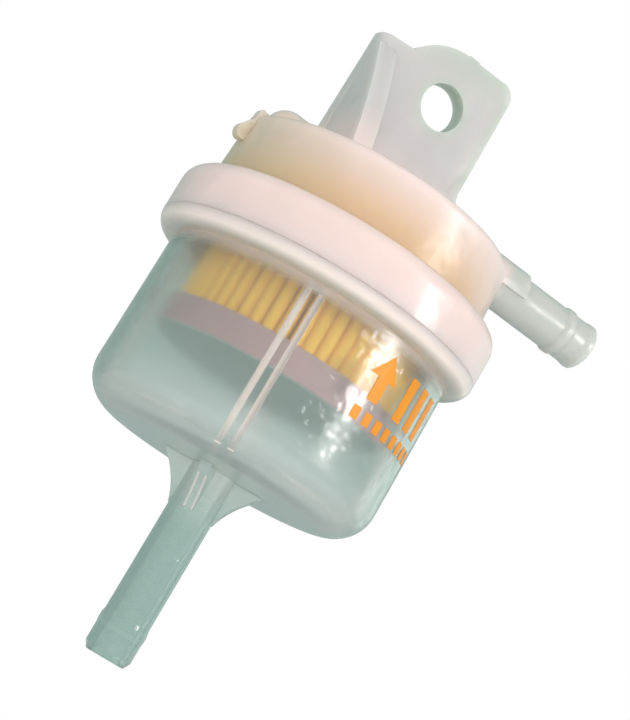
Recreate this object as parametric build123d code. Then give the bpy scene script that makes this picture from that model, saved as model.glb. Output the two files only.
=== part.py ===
from build123d import *
import os
from math import asin, cos, degrees, radians, sin

# In-line fuel filter: a clear bowl welded to a milky cap, with a pleated paper
# cartridge sealed inside.  Millimetres, +Z up the housing's axis, origin at the
# centre of the inlet spigot's open end.  The outlet points along +X.

# ---- heights along the axis ----
BOWL_FLOOR_Z = 34.5        # underside of the bowl
FLANGE_UNDER_Z = 65.0      # where the bowl's wall meets its weld flange
WELD_Z = 67.7              # plane where bowl and cap are welded
FLANGE_TOP_Z = 76.5        # top of the cap's weld flange
CAP_TOP_Z = 88.0           # flat top of the cap

# ---- housing ----
WALL = 2.4
BOWL_R_LOW = 26.1          # bowl's outer radius just above its rounded foot
BOWL_R_HIGH = 25.9         # bowl's outer radius under the flange
BOWL_FOOT_R = 6.8          # rounding of the foot
FLANGE_R = 29.6
FLANGE_LOWER_ROUND = 2.6
FLANGE_UPPER_ROUND = 3.0
CAP_R_LOW = 25.55
CAP_R_HIGH = 25.1
CAP_EDGE_ROUND = 1.5
WELD_GROOVE = 0.15         # small step left along the weld line

# ---- hose ends (8 mm hose) ----
BORE_R = 2.6
INLET_BORE_END_Z = 31.0    # above this the inlet's bore opens out into the floor
INLET_MOUTH_R = 3.6
OUTLET_BORE_START_X = 30.5 # inside this the outlet's bore is narrower
INNER_BORE_R = 2.3
INLET_TIP_R = 3.4
INLET_TIP_Z = 1.2          # top of the lead-in at the open end
INLET_LAND_R = 4.1
INLET_BEAD_R = 4.2
INLET_BEAD_Z = (4.4, 5.2, 6.2, 7.1)   # foot, crest start, crest end, foot
INLET_TUBE_R = 4.0
OUTLET_TUBE_R = 4.15
OUTLET_BEAD_R = 4.5
OUTLET_LIP_R = 4.4
OUTLET_WAIST_R = 4.2
OUTLET_Z = 88.8
OUTLET_END_X = 48.2
OUTLET_BEAD_X = 42.4       # middle of the outlet's bead
OUTLET_CREST_HALF = 0.5    # half length of the bead's crest
OUTLET_SLOPE_IN = 1.3      # bead's slope from its middle towards the cap
OUTLET_SLOPE_OUT = 1.1     # bead's slope from its middle towards the open end
OUTLET_LIP_START = 2.2     # lip's slope, start and end, before the open end
OUTLET_LIP_FULL = 1.2
OUTLET_TIP_ROUND = 0.4
COLLAR_R = 4.8             # raised half-round channel over the cap
COLLAR_END_X = 31.2
COLLAR_EDGE_Z = 88.4       # lower edge of the half collar outside the cap
CHANNEL_START_X = -4.0
CHANNEL_KEEP_HALF_Y = 9.0  # clears the channel on both sides

# ---- ribs of the bowl ----
RIB_COUNT = 4
RIB_WIDTH = 3.2
RIB_DEPTH = 1.1
RIB_ROUND = 0.8            # rounding of the rib's two long inner edges
RIB_ANGLE = -114.0         # first inner rib, degrees about +Z from +X
RIB_INNER_END_R = 8.0
RIB_HEAD_SLOPE = 1.0       # slope that ends the rib under the flange
RIB_BACK_CUT = 2.2         # the buried back edge passes the floor's outer corner this high
GUSSET_ANGLE = -124.0      # first gusset around the inlet spigot
GUSSET_THICK = 2.0
GUSSET_ROOT_Z = 26.6
GUSSET_REACH_R = 9.6
GUSSET_MID_R = 5.75        # a point on the gusset's hollow edge
GUSSET_MID_Z = 30.4
GUSSET_EMBED = 1.0         # depth it runs into the bowl's floor

# ---- mounting tab ----
TAB_BACK_Y = 6.0
TAB_THICK = 4.0
TAB_LEFT_X = -13.45
TAB_RIGHT_X = 13.1
TAB_FLARE = 0.3            # the tab's sides lean out by this at the cap
SHOULDER_LEFT_Z = 113.3
FRONT_EDGE_ROUND = 2.0     # rounding of the shoulder's front upright edge
NOTCH_X = -7.4             # where the low shoulder meets the tongue
NOTCH_Z = 113.9
TONGUE_ARC_X = -4.6        # a point on the tongue's round left side
TONGUE_ARC_Z = 116.8
TONGUE_TOP_START_X = 3.0
TONGUE_TOP_START_Z = 119.2
TONGUE_TOP_END_X = 10.45
TONGUE_TOP_END_Z = 119.4
TONGUE_CORNER_R = 2.6
GATE_X = 3.5               # middle of the moulding gate's stub on the tongue
GATE_HALF_W = 1.1
GATE_TOP_Z = 119.65
HOLE_X = 2.5
HOLE_Z = 108.8
HOLE_R = 4.2               # clears an M8 bolt
WEB_THICK = 3.6
WEB_HEAD_Z = 111.4
WEB_MID_Y = -5.2
WEB_MID_Z = 101.7
WEB_FOOT_Y = -12.7
TAB_ROOT_ROUND = 1.2
EDGE_FILLET = 6.5          # round foot of the tab's right edge on the channel

# ---- small features of the cap ----
STUB_R = 3.8
STUB_END_X = -20.0
STUB_ROOT_X = -12.0
LUG_ANGLE = 177.0          # side lug, from a round nub on the drum up over the cap's edge
LUG_WIDTH = 2.6
LUG_NUB_LOW = (26.3, 82.5) # outline points are radius and height
LUG_NUB_TIP = (27.2, 83.6)
LUG_NUB_HIGH = (26.6, 85.2)
LUG_WAIST = (25.6, 86.6)
LUG_PEAK_OUT = (25.3, 88.5)
LUG_PEAK_IN = (25.0, 88.7)
LUG_SADDLE = (24.4, 88.5)
LUG_INNER_R = 21.5
LUG_TAIL_Z = 88.4

# ---- cartridge ----
PLEATS = 52
PAPER_R_OUT = 20.0
PAPER_R_IN = 13.0
PAPER_THICK = 0.4
FOLD_OUT_HALF_W = 0.60
FOLD_IN_HALF_W = 0.50
PLATE_R = 21.0
PLATE_THICK = 0.8
PLATE_RIM_H = 5.2
LOWER_PLATE_Z = 50.4       # underside of the lower end plate
UPPER_PLATE_Z = 83.2       # top of the upper end plate
BOND_THICK = 1.0           # adhesive between the paper's end and its plate
CORE_R_OUT = 12.4
CORE_WALL = 1.0
CORE_WINDOW_COLUMNS = 8
CORE_WINDOW_ROWS = 4
CORE_WINDOW_W = 5.0
CORE_WINDOW_H = 4.4
SEAM_GAP_INDEX = 9         # outward gap between pleats that holds the seam clip
SEAM_THICK = 0.6
SEAM_R_IN = 16.3
SEAM_R_OUT = 19.2
SPOUT_R = 5.6              # cap's inner spout that the cartridge seals on
SPOUT_END_Z = 78.4
SEAL_R_OUT = 7.6
SEAL_H = 3.4
STOP_COUNT = 4
STOP_R_IN = 12.0
STOP_R_OUT = 23.0
STOP_THICK = 1.6

PAPER_FOOT_Z = LOWER_PLATE_Z + PLATE_THICK + BOND_THICK
PAPER_HEAD_Z = UPPER_PLATE_Z - PLATE_THICK - BOND_THICK

TOUCH = 0.01               # two edges this near are in line
AT_START = (Align.CENTER, Align.CENTER, Align.MIN)


def ring_point(radius, angle, z=0.0):
    """A point at a radius and an angle in degrees about the axis."""
    return Vector(radius * cos(radians(angle)), radius * sin(radians(angle)), z)


def upright(*edges):
    """A face in the XZ plane from edges drawn flat, with Y standing for height."""
    return Plane.XZ * make_face(list(edges))


def turned(*edges):
    """Revolve a closed outline, drawn as radius and height, about Z."""
    return revolve(upright(*edges), Axis.Z)


def straight(*points):
    """Straight edges through points given as (radius or x, height)."""
    return Polyline(*points).edges()


def quarter(start, end, radius):
    """A round edge between two points; the sign of the radius says which way it bulges."""
    return RadiusArc(start, end, radius).edges()


def tube(outer_r, inner_r, z_low, z_high):
    """A plain ring about Z between two heights."""
    height = z_high - z_low
    disc = Cylinder(outer_r, height, align=AT_START)
    hole = Cylinder(inner_r, height, align=AT_START)
    return Pos(0, 0, z_low) * (disc - hole)


def box_between(low, high):
    """A box from its lowest to its highest corner."""
    size = [b - a for a, b in zip(low, high)]
    middle = [(a + b) / 2 for a, b in zip(low, high)]
    return Pos(*middle) * Box(*size)


def bowl_shell():
    """Spigot, rounded bowl and lower half of the weld flange, turned in one."""
    foot_out = (BOWL_R_LOW - BOWL_FOOT_R, BOWL_FLOOR_Z)
    foot_up = (BOWL_R_LOW, BOWL_FLOOR_Z + BOWL_FOOT_R)
    flange_low = (FLANGE_R - FLANGE_LOWER_ROUND, FLANGE_UNDER_Z)
    flange_up = (FLANGE_R, FLANGE_UNDER_Z + FLANGE_LOWER_ROUND)
    inner_r = BOWL_R_LOW - WALL
    inner_round = BOWL_FOOT_R - WALL
    inner_floor = BOWL_FLOOR_Z + WALL
    inner_up = (inner_r, inner_floor + inner_round)
    inner_in = (inner_r - inner_round, inner_floor)
    bead_foot, crest_low, crest_high, bead_end = INLET_BEAD_Z
    spigot = straight(
        (BORE_R, 0), (INLET_TIP_R, 0), (INLET_LAND_R, INLET_TIP_Z), (INLET_LAND_R, bead_foot),
        (INLET_BEAD_R, crest_low), (INLET_BEAD_R, crest_high), (INLET_TUBE_R, bead_end),
        (INLET_TUBE_R, BOWL_FLOOR_Z), foot_out)
    foot = quarter(foot_out, foot_up, -BOWL_FOOT_R)
    wall = straight(foot_up, (BOWL_R_HIGH, FLANGE_UNDER_Z), flange_low)
    flange = quarter(flange_low, flange_up, -FLANGE_LOWER_ROUND)
    inside_high = straight(flange_up, (FLANGE_R - WELD_GROOVE, WELD_Z), (inner_r, WELD_Z), inner_up)
    inside_round = quarter(inner_up, inner_in, inner_round)
    inside_low = straight(
        inner_in, (INLET_MOUTH_R, inner_floor), (BORE_R, INLET_BORE_END_Z), (BORE_R, 0))
    return turned(*spigot, *foot, *wall, *flange, *inside_high, *inside_round, *inside_low)


def bowl_rib():
    """One inner rib along +X: up the wall and across the floor, rounded like the foot."""
    inner_r = BOWL_R_LOW - WALL
    inner_floor = BOWL_FLOOR_Z + WALL
    rib_round = BOWL_FOOT_R - WALL - RIB_DEPTH
    embed = WALL / 2
    rib_r = inner_r - RIB_DEPTH
    rib_z = inner_floor + RIB_DEPTH
    rib_head = FLANGE_UNDER_Z - RIB_HEAD_SLOPE
    backbone = straight(
        (RIB_INNER_END_R, inner_floor - embed), (inner_r - RIB_HEAD_SLOPE, inner_floor - embed),
        (inner_r + embed, inner_floor + RIB_BACK_CUT), (inner_r + embed, FLANGE_UNDER_Z),
        (rib_r, rib_head), (rib_r, rib_z + rib_round))
    bend = quarter((rib_r, rib_z + rib_round), (rib_r - rib_round, rib_z), rib_round)
    top = straight(
        (rib_r - rib_round, rib_z), (RIB_INNER_END_R + RIB_DEPTH, rib_z),
        (RIB_INNER_END_R, inner_floor - embed))
    rib = extrude(upright(*backbone, *bend, *top), RIB_WIDTH / 2, both=True, dir=(0, 1, 0))
    long_edges = [
        edge for edge in rib.edges()
        if abs(abs(edge.center().Y) - RIB_WIDTH / 2) < TOUCH
        and inner_floor < edge.center().Z < rib_head
        and edge.center().X < rib_r + TOUCH
        and edge.center().X > RIB_INNER_END_R + RIB_DEPTH]
    return fillet(long_edges, RIB_ROUND)


def spigot_gusset():
    """One curved gusset between the inlet spigot and the bowl's floor, along +X."""
    inner_r = INLET_TUBE_R - 0.6
    start = (INLET_TUBE_R, GUSSET_ROOT_Z)
    middle = (GUSSET_MID_R, GUSSET_MID_Z)
    reach = (GUSSET_REACH_R, BOWL_FLOOR_Z)
    curve = ThreePointArc(start, middle, reach).edges()
    buried_z = BOWL_FLOOR_Z + GUSSET_EMBED
    back = straight(reach, (GUSSET_REACH_R, buried_z), (inner_r, buried_z),
                    (inner_r, GUSSET_ROOT_Z), start)
    return extrude(upright(*curve, *back), GUSSET_THICK / 2, both=True, dir=(0, 1, 0))


def bowl():
    body = bowl_shell()
    for index in range(RIB_COUNT):
        quarter = 360 / RIB_COUNT * index
        body += Rot(0, 0, RIB_ANGLE + quarter) * bowl_rib()
        body += Rot(0, 0, GUSSET_ANGLE + quarter) * spigot_gusset()
    return body


def cap_shell():
    """Upper half of the weld flange and the cap's drum, open below."""
    flange_up = (FLANGE_R, FLANGE_TOP_Z - FLANGE_UPPER_ROUND)
    flange_in = (FLANGE_R - FLANGE_UPPER_ROUND, FLANGE_TOP_Z)
    edge_low = (CAP_R_HIGH, CAP_TOP_Z - CAP_EDGE_ROUND)
    edge_in = (CAP_R_HIGH - CAP_EDGE_ROUND, CAP_TOP_Z)
    ceiling = CAP_TOP_Z - WALL
    inner_low = BOWL_R_LOW - WALL
    inner_high = CAP_R_HIGH - WALL
    outside = straight((inner_low, WELD_Z), (FLANGE_R - WELD_GROOVE, WELD_Z),
                      (FLANGE_R, WELD_Z + WELD_GROOVE), flange_up)
    shoulder = quarter(flange_up, flange_in, -FLANGE_UPPER_ROUND)
    drum = straight(flange_in, (CAP_R_LOW, FLANGE_TOP_Z), edge_low)
    edge = quarter(edge_low, edge_in, -CAP_EDGE_ROUND)
    inside = straight(edge_in, (0, CAP_TOP_Z), (0, ceiling), (inner_high, ceiling),
                     (inner_low, WELD_Z))
    return turned(*outside, *shoulder, *drum, *edge, *inside)


def outlet_tube():
    """Solid hose end along +X with its bead, waist and lip."""
    bead_low = OUTLET_BEAD_X - OUTLET_SLOPE_IN
    bead_high = OUTLET_BEAD_X + OUTLET_SLOPE_OUT
    crest_low = OUTLET_BEAD_X - OUTLET_CREST_HALF
    crest_high = OUTLET_BEAD_X + OUTLET_CREST_HALF
    profile = Polyline(
        (0, 0), (0, OUTLET_TUBE_R), (bead_low, OUTLET_TUBE_R), (crest_low, OUTLET_BEAD_R),
        (crest_high, OUTLET_BEAD_R), (bead_high, OUTLET_WAIST_R),
        (OUTLET_END_X - OUTLET_LIP_START, OUTLET_WAIST_R),
        (OUTLET_END_X - OUTLET_LIP_FULL, OUTLET_LIP_R),
        (OUTLET_END_X - OUTLET_TIP_ROUND, OUTLET_LIP_R),
        (OUTLET_END_X, OUTLET_LIP_R - OUTLET_TIP_ROUND), (OUTLET_END_X, 0), (0, 0))
    solid = revolve(make_face(profile.edges()), Axis.X)
    return Pos(0, 0, OUTLET_Z) * solid


def half_channel():
    """Half-round channel over the cap that runs out as a collar on the hose end."""
    length = COLLAR_END_X - CHANNEL_START_X
    middle_x = (COLLAR_END_X + CHANNEL_START_X) / 2
    drum = Pos(middle_x, 0, OUTLET_Z) * Rot(0, 90, 0) * Cylinder(COLLAR_R, length)
    half_y = CHANNEL_KEEP_HALF_Y
    roof = CAP_TOP_Z + half_y
    above = box_between((CHANNEL_START_X - 1, -half_y, COLLAR_EDGE_Z), (COLLAR_END_X + 1, half_y, roof))
    over_cap = box_between((CHANNEL_START_X - 1, -half_y, CAP_TOP_Z - 1), (CAP_R_HIGH - 1.2, half_y, roof))
    return drum & (above + over_cap)


def domed_stub():
    """Low half-round rib from the web to a domed end near the cap's edge."""
    centre_z = CAP_TOP_Z - 0.5
    length = STUB_ROOT_X - STUB_END_X
    middle_x = (STUB_END_X + STUB_ROOT_X) / 2
    drum = Pos(middle_x, 0, centre_z) * Rot(0, 90, 0) * Cylinder(STUB_R, length)
    dome = Pos(STUB_END_X, 0, centre_z) * Sphere(STUB_R)
    far = 2 * STUB_R
    keep = box_between((STUB_END_X - far, -far, centre_z - 0.1), (0, far, centre_z + far))
    return (drum + dome) & keep


def side_lug():
    """Thin lug on the cap: a round nub on the drum that narrows to a peak over the edge."""
    buried_r = CAP_R_HIGH - WALL / 2
    buried_z = CAP_TOP_Z - WALL / 2
    nub = ThreePointArc(LUG_NUB_LOW, LUG_NUB_TIP, LUG_NUB_HIGH).edges()
    over = straight(LUG_NUB_HIGH, LUG_WAIST, LUG_PEAK_OUT, LUG_PEAK_IN, LUG_SADDLE,
                    (LUG_INNER_R, LUG_TAIL_Z), (LUG_INNER_R, buried_z), (buried_r, buried_z),
                    (buried_r, LUG_NUB_LOW[1]), LUG_NUB_LOW)
    lug = extrude(upright(*nub, *over), LUG_WIDTH / 2, both=True, dir=(0, 1, 0))
    return Rot(0, 0, LUG_ANGLE) * lug


def tab_plate():
    """Upright plate with the bolt hole; its left shoulder stands lower than the tongue."""
    foot_z = CAP_TOP_Z - 1.0
    left_foot = (TAB_LEFT_X - TAB_FLARE, foot_z)
    left_top = (TAB_LEFT_X, SHOULDER_LEFT_Z)
    notch = (NOTCH_X, NOTCH_Z)
    arc_middle = (TONGUE_ARC_X, TONGUE_ARC_Z)
    top_start = (TONGUE_TOP_START_X, TONGUE_TOP_START_Z)
    top_end = (TONGUE_TOP_END_X, TONGUE_TOP_END_Z)
    corner_end = (TAB_RIGHT_X, TONGUE_TOP_END_Z - TONGUE_CORNER_R)
    right_foot = (TAB_RIGHT_X + TAB_FLARE, foot_z)
    edges = list(straight(left_foot, left_top, notch))
    edges += list(ThreePointArc(notch, arc_middle, top_start).edges())
    edges += list(straight(top_start, top_end))
    edges += list(quarter(top_end, corner_end, TONGUE_CORNER_R))
    edges += list(straight(corner_end, right_foot, left_foot))
    plate = Pos(0, TAB_BACK_Y, 0) * extrude(upright(*edges), TAB_THICK, dir=(0, -1, 0))
    front_left = min(plate.edges(), key=lambda edge: edge.center().X + edge.center().Y)
    plate = fillet(front_left, FRONT_EDGE_ROUND)
    bolt_way = Cylinder(HOLE_R, 3 * TAB_THICK)
    hole = Pos(HOLE_X, TAB_BACK_Y - TAB_THICK / 2, HOLE_Z) * Rot(90, 0, 0) * bolt_way
    gate = box_between((GATE_X - GATE_HALF_W, TAB_BACK_Y - TAB_THICK + 0.5, TONGUE_TOP_START_Z - 0.5),
                       (GATE_X + GATE_HALF_W, TAB_BACK_Y - 0.5, GATE_TOP_Z))
    return plate + gate - hole


def tab_web():
    """Side wall that stiffens the tab's left edge, its front edge bowed down to the cap."""
    foot_z = CAP_TOP_Z - 1.0
    back = TAB_BACK_Y - 0.5
    face = TAB_BACK_Y - TAB_THICK
    bow = ThreePointArc(
        (0, face, WEB_HEAD_Z), (0, WEB_MID_Y, WEB_MID_Z), (0, WEB_FOOT_Y, CAP_TOP_Z)).edges()
    rest = Polyline(
        (0, WEB_FOOT_Y, CAP_TOP_Z), (0, WEB_FOOT_Y, foot_z), (0, back, foot_z),
        (0, back, WEB_HEAD_Z), (0, face, WEB_HEAD_Z)).edges()
    wall = extrude(make_face([*bow, *rest]), WEB_THICK, dir=(1, 0, 0))
    return Pos(TAB_LEFT_X, 0, 0) * wall


def tab_root_fillets():
    """Triangular feet along both faces of the plate where it stands on the cap."""
    size = TAB_ROOT_ROUND
    feet = []
    for face_y, way in ((TAB_BACK_Y, 1), (TAB_BACK_Y - TAB_THICK, -1)):
        outline = Polyline(
            (0, face_y, CAP_TOP_Z - 0.5), (0, face_y + way * size, CAP_TOP_Z - 0.5),
            (0, face_y + way * size, CAP_TOP_Z), (0, face_y, CAP_TOP_Z + size),
            (0, face_y, CAP_TOP_Z - 0.5))
        strip = extrude(make_face(outline.edges()), TAB_RIGHT_X - TAB_LEFT_X, dir=(1, 0, 0))
        feet.append(Pos(TAB_LEFT_X, 0, 0) * strip)
    return feet[0] + feet[1]


def tab_edge_fillet():
    """Hollow-rounded foot between the tab's right edge and the top of the channel."""
    channel_top = OUTLET_Z + COLLAR_R - 0.6
    high = (TAB_RIGHT_X, channel_top + EDGE_FILLET)
    low = (TAB_RIGHT_X + EDGE_FILLET, channel_top)
    bend = quarter(high, low, -EDGE_FILLET)
    base_z = CAP_TOP_Z - 0.5
    root_x = TAB_RIGHT_X - 1
    back = straight(low, (TAB_RIGHT_X + EDGE_FILLET, base_z), (root_x, base_z),
                    (root_x, channel_top + EDGE_FILLET), high)
    return Pos(0, TAB_BACK_Y, 0) * extrude(upright(*bend, *back), TAB_THICK, dir=(0, -1, 0))


def inner_spout():
    """Spout under the cap's ceiling, on the axis, that the cartridge's seal grips."""
    height = CAP_TOP_Z - 1.0 - SPOUT_END_Z
    return Pos(0, 0, SPOUT_END_Z) * Cylinder(SPOUT_R, height, align=AT_START)


def stop_rib():
    """One rib under the ceiling, along +X, that the upper end plate presses on."""
    return box_between((STOP_R_IN, -STOP_THICK / 2, UPPER_PLATE_Z),
                       (STOP_R_OUT, STOP_THICK / 2, CAP_TOP_Z - WALL + 0.5))


def cap():
    body = cap_shell() + outlet_tube() + half_channel() + domed_stub() + side_lug()
    body += tab_plate()
    body += tab_web()
    body += tab_root_fillets()
    body += tab_edge_fillet()
    body += inner_spout()
    for index in range(STOP_COUNT):
        body += Rot(0, 0, 45 + 360 / STOP_COUNT * index) * stop_rib()
    inner_cross = Cylinder(INNER_BORE_R, OUTLET_BORE_START_X, align=AT_START)
    outer_cross = Cylinder(BORE_R, OUTLET_END_X - OUTLET_BORE_START_X, align=AT_START)
    drop = Cylinder(INNER_BORE_R, OUTLET_Z - SPOUT_END_Z, align=AT_START)
    body -= Pos(0, 0, OUTLET_Z) * Rot(0, 90, 0) * inner_cross
    body -= Pos(OUTLET_BORE_START_X, 0, OUTLET_Z) * Rot(0, 90, 0) * outer_cross
    body -= Pos(0, 0, SPOUT_END_Z) * drop
    return body


def pleat_outline(peak_r, valley_r, peak_half_w, valley_half_w):
    """Closed zigzag with flat folds: peaks on one radius, valleys on another."""
    step = 360 / PLEATS
    peak_turn = degrees(asin(peak_half_w / peak_r))
    valley_turn = degrees(asin(valley_half_w / valley_r))
    corners = []
    for index in range(PLEATS):
        peak = index * step
        valley = peak + step / 2
        corners.append(ring_point(peak_r, peak - peak_turn))
        corners.append(ring_point(peak_r, peak + peak_turn))
        corners.append(ring_point(valley_r, valley - valley_turn))
        corners.append(ring_point(valley_r, valley + valley_turn))
    return make_face(Polyline(*corners, close=True).edges())


def pleated_paper():
    outside = pleat_outline(
        PAPER_R_OUT, PAPER_R_IN + PAPER_THICK, FOLD_OUT_HALF_W, FOLD_IN_HALF_W - PAPER_THICK)
    inside = pleat_outline(
        PAPER_R_OUT - PAPER_THICK, PAPER_R_IN, FOLD_OUT_HALF_W - PAPER_THICK, FOLD_IN_HALF_W)
    height = PAPER_HEAD_Z - PAPER_FOOT_Z
    return Pos(0, 0, PAPER_FOOT_Z) * extrude(outside - inside, height, dir=(0, 0, 1))


def lower_end_plate():
    """Closed shallow cup under the paper."""
    rim_top = LOWER_PLATE_Z + PLATE_RIM_H
    inner = PLATE_R - PLATE_THICK
    floor = LOWER_PLATE_Z + PLATE_THICK
    corner = 0.6
    outline = straight((0, floor), (0, LOWER_PLATE_Z), (PLATE_R - corner, LOWER_PLATE_Z))
    bend = quarter((PLATE_R - corner, LOWER_PLATE_Z), (PLATE_R, LOWER_PLATE_Z + corner), -corner)
    rim = straight((PLATE_R, LOWER_PLATE_Z + corner), (PLATE_R, rim_top), (inner, rim_top),
                  (inner, floor), (0, floor))
    return turned(*outline, *bend, *rim)


def upper_end_plate():
    """Inverted shallow cup over the paper, with a collar around the seal."""
    rim_low = UPPER_PLATE_Z - PLATE_RIM_H
    floor = UPPER_PLATE_Z - PLATE_THICK
    collar_r = SEAL_R_OUT
    collar_low = floor - SEAL_H
    corner = 0.6
    top = straight((collar_r, UPPER_PLATE_Z), (PLATE_R - corner, UPPER_PLATE_Z))
    bend = quarter((PLATE_R - corner, UPPER_PLATE_Z), (PLATE_R, UPPER_PLATE_Z - corner), corner)
    rest = straight(
        (PLATE_R, UPPER_PLATE_Z - corner), (PLATE_R, rim_low),
        (PLATE_R - PLATE_THICK, rim_low), (PLATE_R - PLATE_THICK, floor),
        (collar_r + PLATE_THICK, floor), (collar_r + PLATE_THICK, collar_low),
        (collar_r, collar_low), (collar_r, UPPER_PLATE_Z))
    return turned(*top, *bend, *rest)


def core_tube():
    """Perforated tube that backs the inner folds of the paper."""
    low = LOWER_PLATE_Z + PLATE_THICK + BOND_THICK
    high = UPPER_PLATE_Z - PLATE_THICK - BOND_THICK
    body = tube(CORE_R_OUT, CORE_R_OUT - CORE_WALL, low, high)
    row_step = (high - low) / CORE_WINDOW_ROWS
    windows = []
    for row in range(CORE_WINDOW_ROWS):
        height = low + row_step * (row + 0.5)
        for column in range(CORE_WINDOW_COLUMNS):
            turn = 360 / CORE_WINDOW_COLUMNS * (column + 0.5 * (row % 2))
            window = Pos(CORE_R_OUT, 0, height) * Box(4 * CORE_WALL, CORE_WINDOW_W, CORE_WINDOW_H)
            windows.append(Rot(0, 0, turn) * window)
    return body - windows


def seam_clip():
    """Pressed strip between the paper's two end pleats, full height, at the back."""
    strip = box_between((SEAM_R_IN, -SEAM_THICK / 2, PAPER_FOOT_Z),
                        (SEAM_R_OUT, SEAM_THICK / 2, PAPER_HEAD_Z))
    return Rot(0, 0, (SEAM_GAP_INDEX + 0.5) * 360 / PLEATS) * strip


def outlet_seal():
    """Rubber ring between the cap's spout and the upper end plate's collar."""
    top = UPPER_PLATE_Z - 0.4
    return tube(SEAL_R_OUT, SPOUT_R, top - SEAL_H, top)


def main():
    lower_bond_z = LOWER_PLATE_Z + PLATE_THICK
    upper_bond_z = UPPER_PLATE_Z - PLATE_THICK
    plate_inner_r = PLATE_R - PLATE_THICK
    nodes = {
        "bowl": bowl(),
        "cap": cap(),
        "pleated_paper": pleated_paper(),
        "lower_end_plate": lower_end_plate(),
        "upper_end_plate": upper_end_plate(),
        "lower_bond": tube(plate_inner_r, CORE_R_OUT - CORE_WALL, lower_bond_z, PAPER_FOOT_Z),
        "upper_bond": tube(plate_inner_r, CORE_R_OUT - CORE_WALL, PAPER_HEAD_Z, upper_bond_z),
        "core_tube": core_tube(),
        "outlet_seal": outlet_seal(),
        "seam_clip": seam_clip(),
    }
    os.makedirs("parts", exist_ok=True)
    for name, solid in nodes.items():
        solid.label = name
        export_step(solid, f"parts/{name}.step")


main()
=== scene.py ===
from math import cos, pi, radians, sin
from random import Random

import bpy
from mathutils import Matrix, Vector


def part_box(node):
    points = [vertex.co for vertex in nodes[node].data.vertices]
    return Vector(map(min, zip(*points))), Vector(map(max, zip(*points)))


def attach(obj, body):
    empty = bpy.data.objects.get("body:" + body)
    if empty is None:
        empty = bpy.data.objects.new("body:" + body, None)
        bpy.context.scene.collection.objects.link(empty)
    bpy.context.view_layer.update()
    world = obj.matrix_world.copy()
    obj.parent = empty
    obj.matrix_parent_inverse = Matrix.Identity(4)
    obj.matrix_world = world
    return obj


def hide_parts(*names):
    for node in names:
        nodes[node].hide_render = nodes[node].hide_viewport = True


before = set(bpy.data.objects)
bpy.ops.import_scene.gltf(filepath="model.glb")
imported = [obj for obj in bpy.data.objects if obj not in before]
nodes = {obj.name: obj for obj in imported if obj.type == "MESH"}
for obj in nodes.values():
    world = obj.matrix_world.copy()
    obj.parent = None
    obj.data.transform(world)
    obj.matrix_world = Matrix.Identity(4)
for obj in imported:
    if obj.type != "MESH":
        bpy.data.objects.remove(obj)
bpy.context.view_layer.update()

scene = bpy.context.scene
scene.view_settings.view_transform = "Standard"
scene.cycles.max_bounces = 24
scene.cycles.transmission_bounces = 20
scene.cycles.transparent_max_bounces = 24
scene.cycles.glossy_bounces = 8
scene.cycles.caustics_reflective = False
scene.cycles.caustics_refractive = True

# ---------------------------------------------------------------- colours
CREAM_A = (0.70, 0.59, 0.565, 1)          # milky nylon, and the next is its lighter cloud
CREAM_B = (0.75, 0.63, 0.60, 1)
LIP_LIGHT_CREAM = (1.0, 0.82, 0.72, 1)          # painted light on the weld flange's shaded low edge
WARM_TAN = (0.60, 0.42, 0.23, 1)          # the drum, with the paper behind it painted on as seen through the nylon
COOL_LIGHT_GREY = (0.475, 0.50, 0.505, 1)       # painted cool room light through the thin tab and the outlet hose end
EDGE_SHADE_GREEN = (0.42, 0.52, 0.45, 1)        # painted shade along thin edges
FAR_SHADE_OLIVE = (0.42, 0.42, 0.28, 1)         # painted shade on the drum's side away from the outlet
MILKY_GLOW = (0.80, 0.72, 0.66, 1)        # light that passes through milky nylon
GLASS_FACE = (0.99, 0.99, 0.98, 1)
GLASS_EDGE = (0.40, 0.60, 0.46, 1)
GLASS_SHADE = (1.0, 0.97, 0.95, 1)        # light that passes through clear nylon
GLASS_BODY = (0.68, 0.87, 0.82, 1)        # what the clear nylon's thickness leaves
VEIL_LOW = (0.27, 0.43, 0.40, 1)          # haze in the inlet hose end
VEIL_HIGH = (0.56, 0.63, 0.63, 1)         # haze in the bowl
# whitish frost that paints the bright lines along the rib and gusset edges
FROST_HIGHLIGHT = (1.0, 0.86, 0.84, 1)
PAPER_YELLOW = (1.0, 0.59, 0.06, 1)
PLATE_MAUVE = (0.50, 0.35, 0.37, 1)
# painted shade on the end plate's faces that look down
PLATE_UNDERSIDE_SHADE = (0.38, 0.52, 0.50, 1)
RESIN_TAN = (0.55, 0.42, 0.25, 1)
CORE_CREAM = (0.70, 0.66, 0.58, 1)
RUBBER_BLACK = (0.03, 0.03, 0.03, 1)
STEEL_GREY = (0.55, 0.55, 0.55, 1)
INK_ORANGE = (0.76, 0.28, 0.006, 1)
FLOOR_WHITE = (0.92, 0.92, 0.92, 1)
ROOM_NEAR = (0.60, 0.58, 0.57, 1)
ROOM_FAR = (0.37, 0.47, 0.45, 1)
WHITE = (1, 1, 1, 1)

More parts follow.
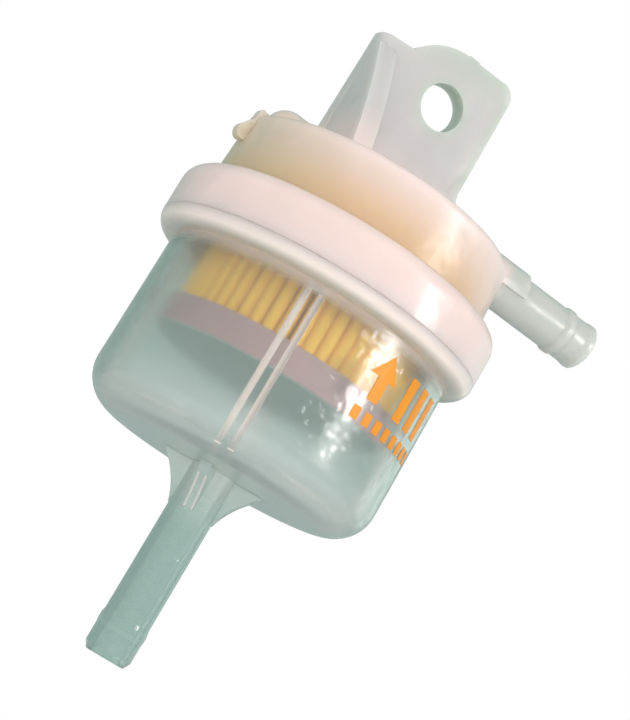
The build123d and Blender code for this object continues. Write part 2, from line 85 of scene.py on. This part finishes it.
# ---------------------------------------------------------------- places on the housing, in metres
LIP_LIGHT_SPAN = (0.0651, 0.0674)               # heights over which the painted light on the flange's low edge ends
WARM_RISE = (0.0758, 0.0768)              # heights over which the drum's warm tone starts
WARM_FALL = (0.0785, 0.0865)              # and those over which it ends
WARM_FADE = (0.006, 0.021)                # the warm tone weakens along X: painted light on the drum's lit side
HIGH_SPAN = (0.0885, 0.0985)              # heights over which the tab takes the painted cool light
OUTWARD_SPAN = (0.0250, 0.0275)           # X over which the outlet hose end takes the painted cool light and painted edge shade
FAR_SHADE_SPAN = (-0.0255, -0.0140)             # X over which the drum's painted olive shade fades out
FAR_SHADE_RISE = (0.0760, 0.0768)
TAB_RIGHT = (0.0100, 0.0134)
TAB_LEFT = (-0.0134, -0.0112)
TAB_TOP = (0.1110, 0.1195)
TAB_FOOT = (0.0900, 0.1000)
HOLE_X = 0.0025
HOLE_Z = 0.1088
HOLE_RIM = (0.0042, 0.0064)               # distances from the hole's axis
VEIL_SPAN = (0.0240, 0.0340)              # heights from the hose end's haze to the bowl's
HAZE_SPAN = (0.0360, 0.0440)              # heights over which the haze thins out
MILKY_SPAN = (0.0625, 0.0660)             # heights over which the bowl's flange turns milky
FROST_SOFT = 0.0001
# Frosted edges, painted to give the bright lines those edges catch: the turn of the four, then
# distance across, reach from the axis and height.
RIB_EDGES = (-114.0, (0.0006, 0.00165), (0.0085, 0.0239), (0.0362, 0.0650))
GUSSET_EDGES = (-124.0, (0.0005, 0.00085), (0.0035, 0.0075), (0.0270, 0.0335))

# ---------------------------------------------------------------- shares of each tone, nought to one
WARM_SHARES = (0.85, 0.35)                # at the two ends of WARM_FADE
COOL_LIGHT_SHARE = 0.85
TAB_EDGE_SHADE_SHARE = 0.75
TAB_LEFT_SHADE_SHARE = 0.35                     # the tab's left edge against its other edges, in painted edge shade
TAB_EDGE_SHADE_POWER = 1.5                      # how fast the painted edge shade falls away from an edge
FAR_SHADE_SHARE = 0.5
OUTLET_SHADE_SHARE = 0.35
MILKY_GLOW_SHARE = 0.6
HAZE_SHARES = (0.38, 0.05)                # at the two ends of HAZE_SPAN
FROST_SHARE = 0.92
GUSSET_SHARE = 0.3                        # the gussets' frost against the ribs'
MILKY_POWER = 1.6                         # how late the bowl's flange turns milky
DARK_GRAIN = 0.9                          # a plain material's darker grain against its colour
ROUGH_SPREAD = 0.05

# ---------------------------------------------------------------- fine scratches
SCRATCH_SCALE = 34.0
SCRATCH_SHIFT = (0.31, 0.0, 0.0)
SCRATCH_SHARE = 0.42
SCRATCH_HALF_WIDTH = 0.006                # in levels of the noise
PATCH_SOFT = 0.05
PATCH_SCALE = SCRATCH_SCALE * 1.3


# ---------------------------------------------------------------- node helpers
class Graph:
    """A material's node tree with short ways to add and join nodes."""

    def __init__(self, name):
        self.material = bpy.data.materials.new(name)
        self.material.use_nodes = True
        self.tree = self.material.node_tree
        self.tree.nodes.clear()
        self.output = self.tree.nodes.new("ShaderNodeOutputMaterial")

    def link(self, source, target):
        self.tree.links.new(source, target)

    def feed(self, socket, value):
        """Link a value that is a socket, and set any other."""
        if isinstance(value, bpy.types.NodeSocket):
            self.link(value, socket)
        else:
            socket.default_value = value

    def add(self, kind, **values):
        """A node with its properties and inputs given by name."""
        node = self.tree.nodes.new(kind)
        for key, value in values.items():
            if hasattr(node, key) and key not in node.inputs:
                setattr(node, key, value)
                continue
            self.feed(node.inputs[key.replace("_", " ")], value)
        return node

    def finish(self, shader):
        self.link(shader, self.output.inputs["Surface"])
        return self.material

    def position(self):
        return self.add("ShaderNodeTexCoord").outputs["Object"]

    def split(self, vector):
        """A vector's X, Y and Z sockets."""
        node = self.add("ShaderNodeSeparateXYZ")
        self.link(vector, node.inputs[0])
        return node.outputs

    def noise(self, scale, detail, vector=None):
        node = self.add("ShaderNodeTexNoise", Scale=scale, Detail=detail)
        self.link(vector or self.position(), node.inputs["Vector"])
        return node.outputs["Fac"]

    def span(self, value, limits, ends=(0.0, 1.0)):
        """Map a value's range to another, held at its ends."""
        node = self.add("ShaderNodeMapRange", From_Min=limits[0], From_Max=limits[1],
                        To_Min=ends[0], To_Max=ends[1])
        self.link(value, node.inputs["Value"])
        return node.outputs["Result"]

    def fall(self, value, limits, start=1.0):
        """Map a range to one that falls from a start to nought."""
        return self.span(value, limits, (start, 0.0))

    def mix_colour(self, factor, a, b):
        node = self.add("ShaderNodeMix", data_type="RGBA")
        for socket, value in ((node.inputs[0], factor), (node.inputs[6], a), (node.inputs[7], b)):
            self.feed(socket, value)
        return node.outputs[2]

    def mix_shader(self, factor, a, b):
        node = self.add("ShaderNodeMixShader")
        for socket, source in zip(node.inputs, (factor, a, b)):
            self.link(source, socket)
        return node.outputs[0]

    def math(self, operation, a, b=0.0):
        node = self.add("ShaderNodeMath", operation=operation)
        self.feed(node.inputs[0], a)
        self.feed(node.inputs[1], b)
        return node.outputs[0]

    def times(self, a, b):
        return self.math("MULTIPLY", a, b)

    def most(self, a, b):
        return self.math("MAXIMUM", a, b)

    def bump(self, height, strength, distance, under=None):
        """A bump's normal, on top of another's where one is given."""
        node = self.add("ShaderNodeBump", Strength=strength, Distance=distance)
        self.link(height, node.inputs["Height"])
        if under:
            self.link(under, node.inputs["Normal"])
        return node.outputs["Normal"]

    def shadow_ray(self):
        return self.add("ShaderNodeLightPath").outputs["Is Shadow Ray"]


# ---------------------------------------------------------------- milky nylon
def hairlines(g):
    """Thin curved scratches: level lines of a smooth noise, kept only in patches."""
    place = g.add("ShaderNodeVectorMath", operation="ADD")
    g.link(g.position(), place.inputs[0])
    place.inputs[1].default_value = SCRATCH_SHIFT
    level = g.noise(SCRATCH_SCALE, detail=0.0, vector=place.outputs[0])
    away = g.math("ABSOLUTE", g.math("SUBTRACT", level, 0.5))
    patches = g.noise(PATCH_SCALE, detail=1.0, vector=place.outputs[0])
    patch = g.span(patches, (1 - SCRATCH_SHARE, 1 + PATCH_SOFT - SCRATCH_SHARE))
    return g.times(g.fall(away, (0.0, SCRATCH_HALF_WIDTH)), patch)


def tab_edge_shade(g, place):
    """How near a point of the tab is to its outline or its hole, nought to one: the share of painted
    edge shade.
    """
    sides = g.most(g.span(place["X"], TAB_RIGHT), g.fall(place["X"], TAB_LEFT, TAB_LEFT_SHADE_SHARE))
    dx = g.math("SUBTRACT", place["X"], HOLE_X)
    dz = g.math("SUBTRACT", place["Z"], HOLE_Z)
    away = g.math("SQRT", g.math("ADD", g.times(dx, dx), g.times(dz, dz)))
    near = g.most(sides, g.most(g.span(place["Z"], TAB_TOP), g.fall(away, HOLE_RIM)))
    return g.times(g.math("POWER", near, TAB_EDGE_SHADE_POWER), g.span(place["Z"], TAB_FOOT))


def milky_tone(g, cloud):
    """The colour, with painted light and shade: the paper seen through the drum painted warm,
    painted cool light in the thin tab and hose end, painted shade at thin edges and on the far side,
    and painted light on the flange's low edge.
    """
    place = g.split(g.position())
    height = place["Z"]
    along = place["X"]
    cream = g.mix_colour(g.span(cloud, (0.35, 0.65)), CREAM_A, CREAM_B)
    # painted light: the flange's shaded low edge is lightened to cream
    cream = g.mix_colour(g.fall(height, LIP_LIGHT_SPAN), cream, LIP_LIGHT_CREAM)
    # the paper seen through the drum, painted on as a warm tone that weakens towards +X as painted
    # light
    band = g.times(g.span(height, WARM_RISE), g.fall(height, WARM_FALL))
    warm = g.mix_colour(g.times(band, g.span(along, WARM_FADE, WARM_SHARES)), cream, WARM_TAN)
    # painted cool light: the room's light through the thin tab and hose end
    outward = g.span(along, OUTWARD_SPAN)
    cool_light_share = g.times(g.most(g.span(height, HIGH_SPAN), outward), COOL_LIGHT_SHARE)
    tone = g.mix_colour(cool_light_share, warm, COOL_LIGHT_GREY)
    # painted shade: green-grey along the tab's outline and hole
    tone = g.mix_colour(g.times(tab_edge_shade(g, place), TAB_EDGE_SHADE_SHARE), tone, EDGE_SHADE_GREEN)
    # painted shade: olive on the drum's side away from the outlet
    far_shade = g.times(g.fall(along, FAR_SHADE_SPAN, FAR_SHADE_SHARE), g.span(height, FAR_SHADE_RISE))
    tone = g.mix_colour(far_shade, tone, FAR_SHADE_OLIVE)
    # painted shade: green-grey over the thin outlet hose end
    return g.mix_colour(g.times(outward, OUTLET_SHADE_SHARE), tone, EDGE_SHADE_GREEN)


def milky_shader(g):
    """Milky nylon with a slow swell, fine scratches and a moulded grain."""
    cloud = g.noise(scale=38.0, detail=3.0)
    slow = g.noise(scale=150.0, detail=1.5)
    fine = g.noise(scale=1400.0, detail=3.0)
    swell = g.bump(slow, strength=0.5, distance=0.0010)
    scored = g.bump(hairlines(g), strength=0.8, distance=0.0002, under=swell)
    grained = g.bump(fine, strength=0.05, distance=0.0002, under=scored)
    body = g.add("ShaderNodeBsdfPrincipled", Base_Color=milky_tone(g, cloud), IOR=1.5,
                 Subsurface_Weight=0.8, Subsurface_Radius=(1.0, 0.85, 0.75),
                 Subsurface_Scale=0.006, Coat_Weight=0.5, Coat_Roughness=0.24)
    g.link(g.span(cloud, (0.3, 0.7), (0.28, 0.40)), body.inputs["Roughness"])
    g.link(grained, body.inputs["Normal"])
    g.link(scored, body.inputs["Coat Normal"])
    return body.outputs[0]


def milky_plastic():
    """Milky nylon that lets part of the light through in its shadow."""
    g = Graph("milky_nylon")
    glow = g.add("ShaderNodeBsdfTransparent", Color=MILKY_GLOW).outputs[0]
    return g.finish(g.mix_shader(g.times(g.shadow_ray(), MILKY_GLOW_SHARE), milky_shader(g), glow))


# ---------------------------------------------------------------- clear nylon
def within(g, value, limits):
    """One inside a range and nought outside it, with soft ends."""
    low, high = limits
    return g.times(g.span(value, (low - FROST_SOFT, low + FROST_SOFT)),
                   g.fall(value, (high - FROST_SOFT, high + FROST_SOFT)))


def edge_frost_highlight(g, turn, across_span, reach_span, height_span):
    """Frost along both long edges of four ribs, which stand every 90 degrees from a turn; it paints
    the bright lines those edges catch.
    """
    spun = g.add("ShaderNodeVectorRotate", rotation_type="Z_AXIS")
    g.link(g.position(), spun.inputs["Vector"])
    spun.inputs["Angle"].default_value = -radians(turn)
    place = g.split(spun.outputs[0])
    x = g.math("ABSOLUTE", place["X"])
    y = g.math("ABSOLUTE", place["Y"])
    edges = within(g, g.math("MINIMUM", x, y), across_span)
    reach = within(g, g.most(x, y), reach_span)
    return g.times(g.times(edges, reach), within(g, place["Z"], height_span))


def glass_shader(g):
    """Clear nylon under a rippled gloss coat, greener where it is seen edge on."""
    facing = g.add("ShaderNodeLayerWeight", Blend=0.35).outputs["Facing"]
    tint = g.mix_colour(g.span(facing, (0.44, 0.60)), GLASS_FACE, GLASS_EDGE)
    glass = g.add("ShaderNodeBsdfPrincipled", Base_Color=tint, Transmission_Weight=1.0, IOR=1.5,
                  Specular_IOR_Level=0.25, Coat_Weight=0.7, Coat_Roughness=0.08)
    waves = g.noise(scale=190.0, detail=2.0)
    blur = g.noise(scale=160.0, detail=4.0)
    ripple = g.noise(scale=55.0, detail=2.0)
    g.link(g.bump(waves, strength=0.7, distance=0.0012), glass.inputs["Coat Normal"])
    g.link(g.span(blur, (0.35, 0.7), (0.15, 0.21)), glass.inputs["Roughness"])
    g.link(g.bump(ripple, strength=0.2, distance=0.0006), glass.inputs["Normal"])
    return glass.outputs[0]


def clear_plastic():
    """Clear nylon with haze low down, frosted rib edges that paint their bright lines, and a milky
    flange.
    """
    g = Graph("clear_nylon")
    height = g.split(g.position())["Z"]
    veil_tone = g.mix_colour(g.span(height, VEIL_SPAN), VEIL_LOW, VEIL_HIGH)
    veil = g.add("ShaderNodeBsdfPrincipled", Roughness=0.35, Base_Color=veil_tone).outputs[0]
    # painted highlight: whitish frost along the rib and gusset edges
    frost = g.add("ShaderNodeBsdfPrincipled", Roughness=0.4, Base_Color=FROST_HIGHLIGHT).outputs[0]
    gussets = g.times(edge_frost_highlight(g, *GUSSET_EDGES), GUSSET_SHARE)
    frost_highlight_share = g.times(g.most(edge_frost_highlight(g, *RIB_EDGES), gussets), FROST_SHARE)
    hazy = g.mix_shader(g.span(height, HAZE_SPAN, HAZE_SHARES), glass_shader(g), veil)
    edged = g.mix_shader(frost_highlight_share, hazy, frost)
    shade = g.add("ShaderNodeBsdfTransparent", Color=GLASS_SHADE).outputs[0]
    see = g.mix_shader(g.shadow_ray(), edged, shade)
    flange = g.math("POWER", g.span(height, MILKY_SPAN), MILKY_POWER)
    body = g.add("ShaderNodeVolumeAbsorption", Density=75.0, Color=GLASS_BODY)
    g.link(body.outputs[0], g.output.inputs["Volume"])
    return g.finish(g.mix_shader(flange, see, milky_shader(g)))


# ---------------------------------------------------------------- plain materials
def plain(name, colour, roughness, under=None, **more):
    """A grained material; its faces that look down may take a painted shade colour."""
    g = Graph(name)
    grain = g.noise(scale=300.0, detail=4.0)
    dark = tuple(c * DARK_GRAIN for c in colour[:3]) + (1,)
    tone = g.mix_colour(g.span(grain, (0.3, 0.7)), dark, colour)
    # painted shade: faces that look down take the colour given as under
    if under:
        normal = g.split(g.add("ShaderNodeNewGeometry").outputs["Normal"])
        tone = g.mix_colour(g.fall(normal["Z"], (-0.9, -0.3)), tone, under)
    body = g.add("ShaderNodeBsdfPrincipled", Base_Color=tone, **more)
    rough = (roughness - ROUGH_SPREAD, roughness + ROUGH_SPREAD)
    g.link(g.span(grain, (0.3, 0.7), rough), body.inputs["Roughness"])
    g.link(g.bump(grain, strength=0.1, distance=0.0002), body.inputs["Normal"])
    return g.finish(body.outputs[0])


materials = {
    "bowl": clear_plastic(),
    "cap": milky_plastic(),
    "pleated_paper": plain("filter_paper", PAPER_YELLOW, roughness=0.9, Subsurface_Weight=0.2,
                           Subsurface_Radius=(1.0, 0.6, 0.25), Subsurface_Scale=0.002),
    "lower_end_plate": plain("end_plate", PLATE_MAUVE, roughness=0.6, under=PLATE_UNDERSIDE_SHADE),
    "lower_bond": plain("bond_resin", RESIN_TAN, roughness=0.4),
    "core_tube": plain("core_plastic", CORE_CREAM, roughness=0.5),
    "outlet_seal": plain("seal_rubber", RUBBER_BLACK, roughness=0.6),
    "seam_clip": plain("clip_steel", STEEL_GREY, roughness=0.3),
}
materials["upper_end_plate"] = materials["lower_end_plate"]
materials["upper_bond"] = materials["lower_bond"]
for name, node in nodes.items():
    node.data.materials.clear()
    node.data.materials.append(materials[name])


# ---------------------------------------------------------------- new pieces
def mesh_piece(name, points, faces, material, smooth=True):
    """A named mesh that rides on the one body."""
    data = bpy.data.meshes.new(name)
    data.from_pydata(points, [], faces)
    data.update()
    data.materials.append(material)
    for polygon in data.polygons:
        polygon.use_smooth = smooth
    piece = bpy.data.objects.new(name, data)
    scene.collection.objects.link(piece)
    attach(piece, "root")
    return piece


# ---------------------------------------------------------------- pleated paper, in metres
PLEATS = 52
PAPER_OUT = 0.0200
PAPER_IN = 0.0130
PAPER_THICK = 0.0004
HALF_THICK = PAPER_THICK / 2
TIP_R = 0.00088            # rounding of an outer fold, to the sheet's middle
ROOT_R = 0.00034           # rounding of an inner fold, to the sheet's middle
TIP_STEPS = 8
ROOT_STEPS = 4
PAPER_LEVELS = 14
PAPER_SEED = 7
DRIFT_TURN = 0.010         # most that a fold stands off its even place, in radians
LEAN_TURN = 0.006          # most that a fold leans from foot to top
BELLY_TURN = 0.003         # most that a fold bows at its middle


def fold(turn, centre, radius, side, steps):
    """Points of one rounded fold at a turn: side 1 bulges outwards and -1 inwards."""
    points = []
    for k in range(steps + 1):
        swing = -pi / 2 + pi * k / steps
        r = centre + side * radius * cos(swing)
        y = radius * sin(swing)
        points.append((r * cos(turn) - y * sin(turn), r * sin(turn) + y * cos(turn)))
    return points


def pleat_loop(offset, turns):
    """The sheet's line at one height, moved out by offset: rounded tips and roots."""
    points = []
    step = 2 * pi / PLEATS
    for index in range(PLEATS):
        tip_turn = index * step + turns[index]
        root_turn = (index + 0.5) * step + (turns[index] + turns[(index + 1) % PLEATS]) / 2
        points += fold(tip_turn, PAPER_OUT - HALF_THICK - TIP_R, TIP_R + offset, 1, TIP_STEPS)
        points += fold(root_turn, PAPER_IN + HALF_THICK + ROOT_R, ROOT_R - offset, -1, ROOT_STEPS)
    return points


def paper_loops(offset, drift, lean):
    """One side of the sheet, as a loop of points at each level."""
    low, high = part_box("pleated_paper")
    loops = []
    for level in range(PAPER_LEVELS + 1):
        share = level / PAPER_LEVELS
        belly = sin(pi * share)
        turns = [DRIFT_TURN * drift[i] + LEAN_TURN * lean[i] * (share - 0.5)
                 + BELLY_TURN * belly * lean[i - 1] for i in range(PLEATS)]
        z = low.z + (high.z - low.z) * share
        loops.append([(x, y, z) for x, y in pleat_loop(offset, turns)])
    return loops


def paper_folds():
    """The pleated sheet as one closed band with rounded, slightly uneven folds."""
    rng = Random(PAPER_SEED)
    drift = [rng.uniform(-1, 1) for _ in range(PLEATS)]
    lean = [rng.uniform(-1, 1) for _ in range(PLEATS)]
    sides = [paper_loops(offset, drift, lean) for offset in (HALF_THICK, -HALF_THICK)]
    points = [p for loops in sides for loop in loops for p in loop]
    count = len(sides[0][0])
    rows = PAPER_LEVELS + 1
    faces = []
    for side in range(2):
        for level in range(PAPER_LEVELS):
            for k in range(count):
                a = (side * rows + level) * count + k
                b = (side * rows + level) * count + (k + 1) % count
                quad = (a, b, b + count, a + count)
                faces.append(quad if side == 0 else quad[::-1])
    inner = rows * count
    for level in (0, PAPER_LEVELS):
        for k in range(count):
            a = level * count + k
            b = level * count + (k + 1) % count
            quad = (a, a + inner, b + inner, b)
            faces.append(quad if level == 0 else quad[::-1])
    paper = mesh_piece("paper_folds", points, faces, materials["pleated_paper"])
    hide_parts("pleated_paper")


paper_folds()

# ---------------------------------------------------------------- printed mark
BOWL_R = 0.02594           # the bowl's outside at DRAFT_TOP
DRAFT_TOP = 62.0           # mm
DRAFT = 0.0000065          # metres that the wall stands further out for each mm down
INK_LIFTS = (0.00004, 0.00009)
# Places on the wall: turns in degrees, widths in degrees, heights in mm.
ARROW_MID = -76.5
HEAD_HALF = 6.5
STEM_HALF = 2.5
STEM_LOW = 54.0
HEAD_LOW = 58.0
HEAD_HIGH = 62.0
BARS = 3
BAR_START = -64
BAR_STEP = 9
BAR_WIDTH = 5
BAR_LOW = 54.0
BAR_HIGH = 61.5
DASHES = 8
DASH_START = -82
DASH_STEP = 6
DASH_WIDTH = 3.6
DASH_LOW = 50.2
DASH_HIGH = 52.4
STRIP_WIDTH = 2


def bowl_patch(points, faces, outline):
    """Add one printed shape, given as corners of (degrees, height in mm), laid on the bowl."""
    start = len(points)
    for lift in INK_LIFTS:
        for degrees_at, z in outline:
            r = BOWL_R + lift + (DRAFT_TOP - z) * DRAFT
            points.append((r * cos(radians(degrees_at)), r * sin(radians(degrees_at)), z / 1000))
    n = len(outline)
    faces.append(tuple(range(start, start + n))[::-1])
    faces.append(tuple(range(start + n, start + 2 * n)))
    for k in range(n):
        a, b = start + k, start + (k + 1) % n
        faces.append((a, b, b + n, a + n))


def bar(points, faces, left, right, low, high):
    """A printed bar, cut into narrow strips so that it follows the round wall."""
    strips = max(1, int((right - left) / STRIP_WIDTH))
    for k in range(strips):
        a = left + (right - left) * k / strips
        b = left + (right - left) * (k + 1) / strips
        bowl_patch(points, faces, [(a, low), (b, low), (b, high), (a, high)])


def printed_mark():
    """A plain flow arrow, three bars and a row of dashes in orange ink."""
    points, faces = [], []
    tip = (ARROW_MID, HEAD_HIGH)
    foot = (ARROW_MID, HEAD_LOW)
    bowl_patch(points, faces, [(ARROW_MID - HEAD_HALF, HEAD_LOW), foot, tip])
    bowl_patch(points, faces, [foot, (ARROW_MID + HEAD_HALF, HEAD_LOW), tip])
    bar(points, faces, ARROW_MID - STEM_HALF, ARROW_MID + STEM_HALF, STEM_LOW, HEAD_LOW)
    for index in range(BARS):
        left = BAR_START + BAR_STEP * index
        bar(points, faces, left, left + BAR_WIDTH, BAR_LOW, BAR_HIGH)
    for index in range(DASHES):
        left = DASH_START + DASH_STEP * index
        bar(points, faces, left, left + DASH_WIDTH, DASH_LOW, DASH_HIGH)
    ink = plain("mark_ink", INK_ORANGE, roughness=0.45)
    mesh_piece("printed_mark", points, faces, ink, smooth=False)


printed_mark()

# ---------------------------------------------------------------- lights
AIM = Vector((0, 0, 0.065))


def area_light(name, where, size, power, colour, mirrored=True, diffuse=True):
    """A soft square light; one that is not mirrored never shows in glass or gloss."""
    data = bpy.data.lights.new(name, "AREA")
    data.shape = "RECTANGLE"
    data.size = size
    data.size_y = size
    data.energy = power
    data.color = colour
    lamp = bpy.data.objects.new(name, data)
    scene.collection.objects.link(lamp)
    lamp.location = where
    lamp.rotation_euler = (AIM - Vector(where)).to_track_quat("-Z", "Y").to_euler()
    lamp.visible_transmission = mirrored
    lamp.visible_glossy = mirrored
    lamp.visible_diffuse = diffuse


area_light("key_light", where=(0.32, -0.38, 0.195), size=0.13, power=0.70,
           colour=(1.0, 0.95, 0.93))
area_light("soft_front", where=(-0.08, -0.58, 0.10), size=0.45, power=1.3,
           colour=(1.0, 0.94, 0.93), mirrored=False)
area_light("top_light", where=(0.05, 0.05, 0.60), size=0.50, power=0.15,
           colour=(1.0, 0.97, 0.96))
area_light("left_light", where=(-0.50, -0.05, 0.15), size=0.40, power=0.55,
           colour=(1.0, 0.99, 0.95), mirrored=False)
area_light("side_glow", where=(0.45, 0.20, 0.12), size=0.35, power=0.20,
           colour=(1.0, 0.99, 0.97), diffuse=False)
area_light("low_front", where=(-0.16, -0.42, -0.01), size=0.25, power=0.50,
           colour=(1.0, 0.95, 0.90), mirrored=False)


# ---------------------------------------------------------------- surroundings
ROOM_AXIS = (0.38, 0.92, 0.0)
ROOM_FADE = (-0.5, 0.6)


def surroundings():
    """A room that goes from a warm near side to a cool far side, and is white behind the object."""
    world = bpy.data.worlds.new("surroundings")
    scene.world = world
    world.use_nodes = True
    tree = world.node_tree
    background = tree.nodes["Background"]
    background.inputs["Strength"].default_value = 1.0
    facing = tree.nodes.new("ShaderNodeVectorMath")
    facing.operation = "DOT_PRODUCT"
    facing.inputs[1].default_value = ROOM_AXIS
    tree.links.new(tree.nodes.new("ShaderNodeTexCoord").outputs["Generated"], facing.inputs[0])
    fade = tree.nodes.new("ShaderNodeMapRange")
    fade.interpolation_type = "SMOOTHSTEP"
    fade.inputs["From Min"].default_value = ROOM_FADE[0]
    fade.inputs["From Max"].default_value = ROOM_FADE[1]
    tree.links.new(facing.outputs["Value"], fade.inputs["Value"])
    room = tree.nodes.new("ShaderNodeMix")
    room.data_type = "RGBA"
    room.inputs[6].default_value = ROOM_NEAR
    room.inputs[7].default_value = ROOM_FAR
    tree.links.new(fade.outputs["Result"], room.inputs[0])
    seen = tree.nodes.new("ShaderNodeMix")
    seen.data_type = "RGBA"
    seen.inputs[7].default_value = WHITE
    tree.links.new(room.outputs[2], seen.inputs[6])
    tree.links.new(tree.nodes.new("ShaderNodeLightPath").outputs["Is Camera Ray"], seen.inputs[0])
    tree.links.new(seen.outputs[2], background.inputs["Color"])


surroundings()

FLOOR_R = 0.33
FLOOR_SIDES = 96
FLOOR_PLACE = (0, 0, -0.04)
bpy.ops.mesh.primitive_circle_add(vertices=FLOOR_SIDES, radius=FLOOR_R, fill_type="NGON",
                                  location=FLOOR_PLACE)
floor = bpy.context.object
floor.name = "floor"
floor_graph = Graph("floor_paint")
floor_body = floor_graph.add("ShaderNodeBsdfPrincipled", Roughness=0.9, Base_Color=FLOOR_WHITE)
floor.data.materials.append(floor_graph.finish(floor_body.outputs[0]))

# ---------------------------------------------------------------- camera
CAMERA_PLACE = Vector((-0.11238, -0.27816, 0.00382))
CAMERA_FORWARD = Vector((0.38284, 0.90591, 0.18103)).normalized()
CAMERA_ROLL = radians(30.607)
SENSOR_HEIGHT = 36.0       # mm
LENS_LENGTH = 92.25        # mm

level_right = CAMERA_FORWARD.cross(Vector((0, 0, 1))).normalized()
level_up = level_right.cross(CAMERA_FORWARD)
camera_right = cos(CAMERA_ROLL) * level_right + sin(CAMERA_ROLL) * level_up
camera_up = cos(CAMERA_ROLL) * level_up - sin(CAMERA_ROLL) * level_right
camera_data = bpy.data.cameras.new("camera")
camera_data.sensor_fit = "VERTICAL"
camera_data.sensor_height = SENSOR_HEIGHT
camera_data.lens = LENS_LENGTH
camera = bpy.data.objects.new("camera", camera_data)
scene.collection.objects.link(camera)
camera_turn = Matrix((camera_right, camera_up, -CAMERA_FORWARD)).transposed()
camera.matrix_world = Matrix.Translation(CAMERA_PLACE) @ camera_turn.to_4x4()
scene.camera = camera
